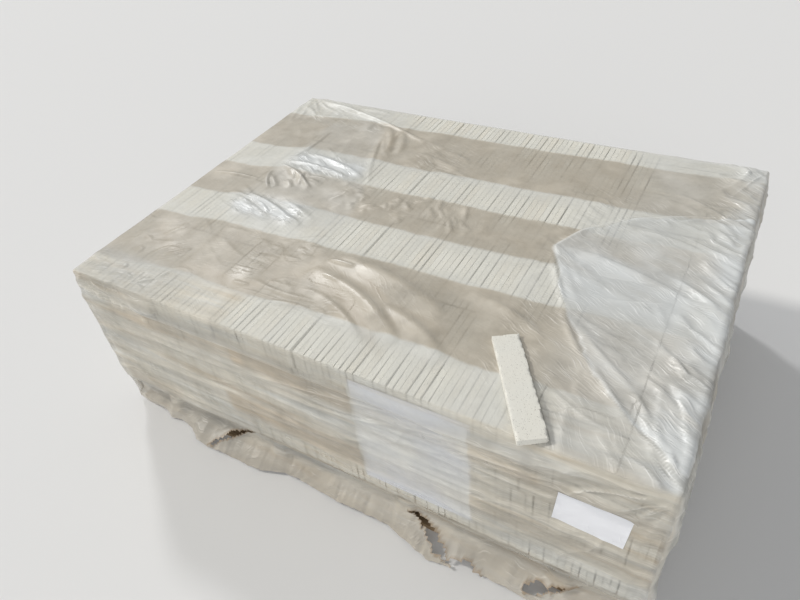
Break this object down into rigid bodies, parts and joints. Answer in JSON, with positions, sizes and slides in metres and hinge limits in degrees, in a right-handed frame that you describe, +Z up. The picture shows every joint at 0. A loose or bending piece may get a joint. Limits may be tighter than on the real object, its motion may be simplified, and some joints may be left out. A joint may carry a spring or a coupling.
{
  "type": "pallet of bricks",
  "caption": "Wooden pallet stacked with thin off-white bricks under a wrinkled, striped clear film, with a loose brick lying on top.",
  "frame": {"origin": "middle of the footprint, on the floor", "axes": "+X along the length of the pack, +Y to its back, +Z up; the front with the white sheet, the label and the torn hem faces -Y"},
  "size_m": [1.6524, 1.2342, 0.5843],
  "materials": {
    "brick": "matte, fired clay",
    "wood": "rough sawn",
    "film": "thin clear film with tan stripes, glossy and wrinkled",
    "paper": "matte"
  },
  "bodies": {
    "root": {"brick_course_1": "brick", "brick_course_2": "brick", "brick_course_3": "brick", "brick_course_4": "brick", "brick_course_5": "brick", "brick_course_6": "brick", "brick_course_7": "brick", "pallet_stringer_1": "wood", "pallet_stringer_2": "wood", "pallet_stringer_3": "wood", "pallet_stringer_4": "wood", "pallet_deck_board_1": "wood", "pallet_deck_board_2": "wood", "pallet_deck_board_3": "wood", "pallet_deck_board_4": "wood", "pallet_deck_board_5": "wood", "pallet_deck_board_6": "wood", "pallet_deck_board_7": "wood", "pallet_bottom_board_1": "wood", "pallet_bottom_board_2": "wood", "pallet_bottom_board_3": "wood", "film_cover": "film", "white_sheet": "paper", "label": "paper", "loose_brick": "brick"}
  },
  "joints": []
}
